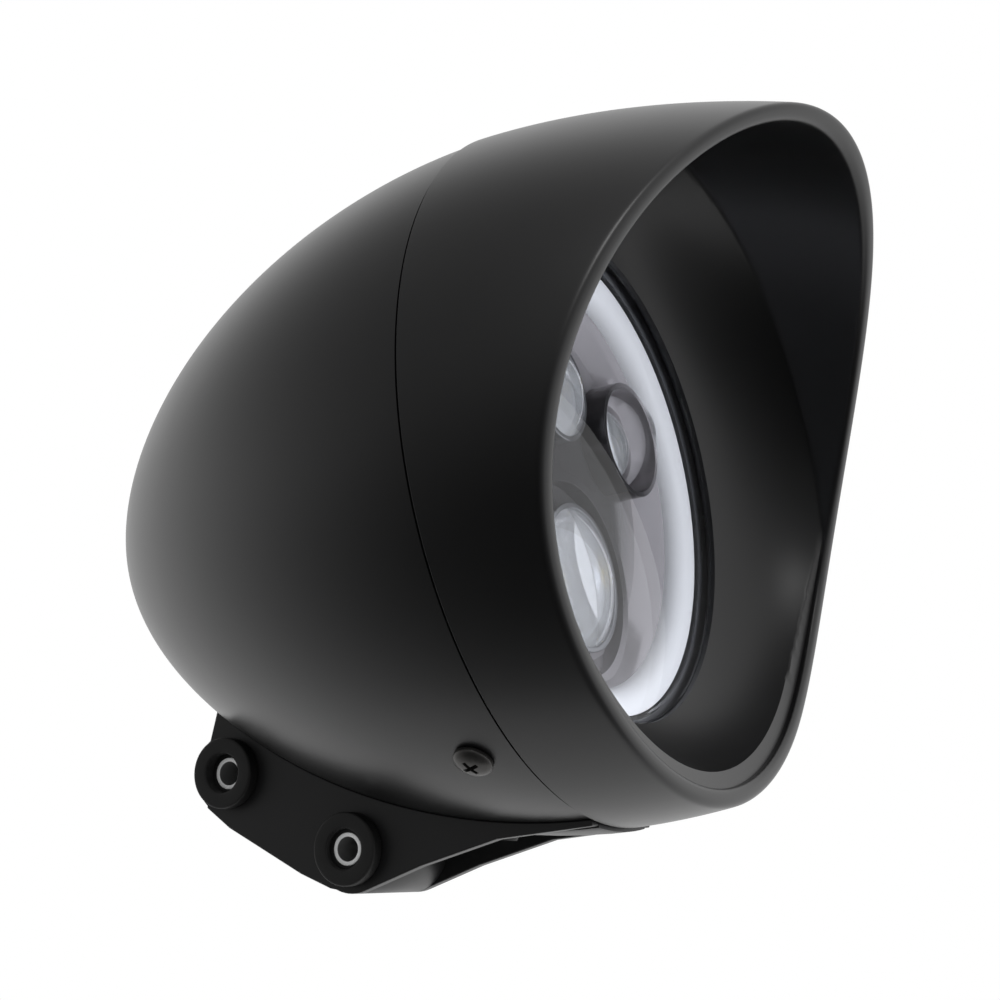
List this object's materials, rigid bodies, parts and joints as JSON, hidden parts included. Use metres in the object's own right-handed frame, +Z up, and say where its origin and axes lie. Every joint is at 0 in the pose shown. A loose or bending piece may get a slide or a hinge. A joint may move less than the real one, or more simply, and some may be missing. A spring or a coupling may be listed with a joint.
{
  "type": "visored motorcycle spotlight",
  "caption": "Bullet-shaped black motorcycle spotlight with a deep swept visor, a clear projector light unit and a rubber-bushed two-bolt bracket under the shell.",
  "frame": {"origin": "middle of the lamp on the axis of the bracket's front bolt hole", "axes": "+X along the front bolt to the lamp's right-hand cheek, +Y to the rear, so the lamp shines along -Y, +Z up"},
  "size_m": [0.19, 0.2343, 0.1988],
  "materials": {
    "black_metal": "satin black powder coat",
    "rubber": "matte moulded rubber",
    "clear_cover": "clear moulded polycarbonate",
    "cast_aluminium": "black die-cast aluminium",
    "halo_white": "milky white light guide",
    "reflector_chrome": "bright vacuum-coated plastic",
    "lens_glass": "clear moulded lens",
    "black_plastic": "black moulded plastic",
    "board_white": "white coated circuit board",
    "chip_yellow": "yellow light chip",
    "blade_brass": "plain brass",
    "zinc_steel": "zinc-plated steel",
    "sleeve_steel": "turned bright steel",
    "black_screw": "black oxide steel"
  },
  "bodies": {
    "root": {"rear_shell": "black_metal", "visor_ring": "black_metal", "shell_seal": "rubber", "unit_gasket": "rubber", "lens_cover": "clear_cover", "unit_housing": "cast_aluminium", "halo_ring": "halo_white", "inner_reflector": "reflector_chrome", "lower_lens": "lens_glass", "upper_lens": "lens_glass", "side_lens_left": "lens_glass", "side_lens_right": "lens_glass", "lower_lens_holder": "black_plastic", "upper_lens_holder": "black_plastic", "reflector_cups": "reflector_chrome", "led_board": "board_white", "led_chips": "chip_yellow", "plug_socket": "black_plastic", "plug_blades": "blade_brass", "retaining_ring": "zinc_steel", "retaining_screws": "zinc_steel", "mounting_bracket": "black_metal", "bracket_cheek_left": "black_metal", "bracket_cheek_right": "black_metal", "bracket_boss_front": "black_metal", "bracket_boss_rear": "black_metal", "bracket_screws": "zinc_steel", "bracket_washers": "zinc_steel", "bracket_nuts": "zinc_steel", "bush_front_left": "rubber", "bush_front_right": "rubber", "bush_rear_left": "rubber", "bush_rear_right": "rubber", "sleeve_front": "sleeve_steel", "sleeve_rear": "sleeve_steel", "ring_screw_left": "black_screw", "ring_screw_right": "black_screw", "clip_nut_left": "zinc_steel", "clip_nut_right": "zinc_steel", "cable_grommet": "rubber"}
  },
  "joints": []
}
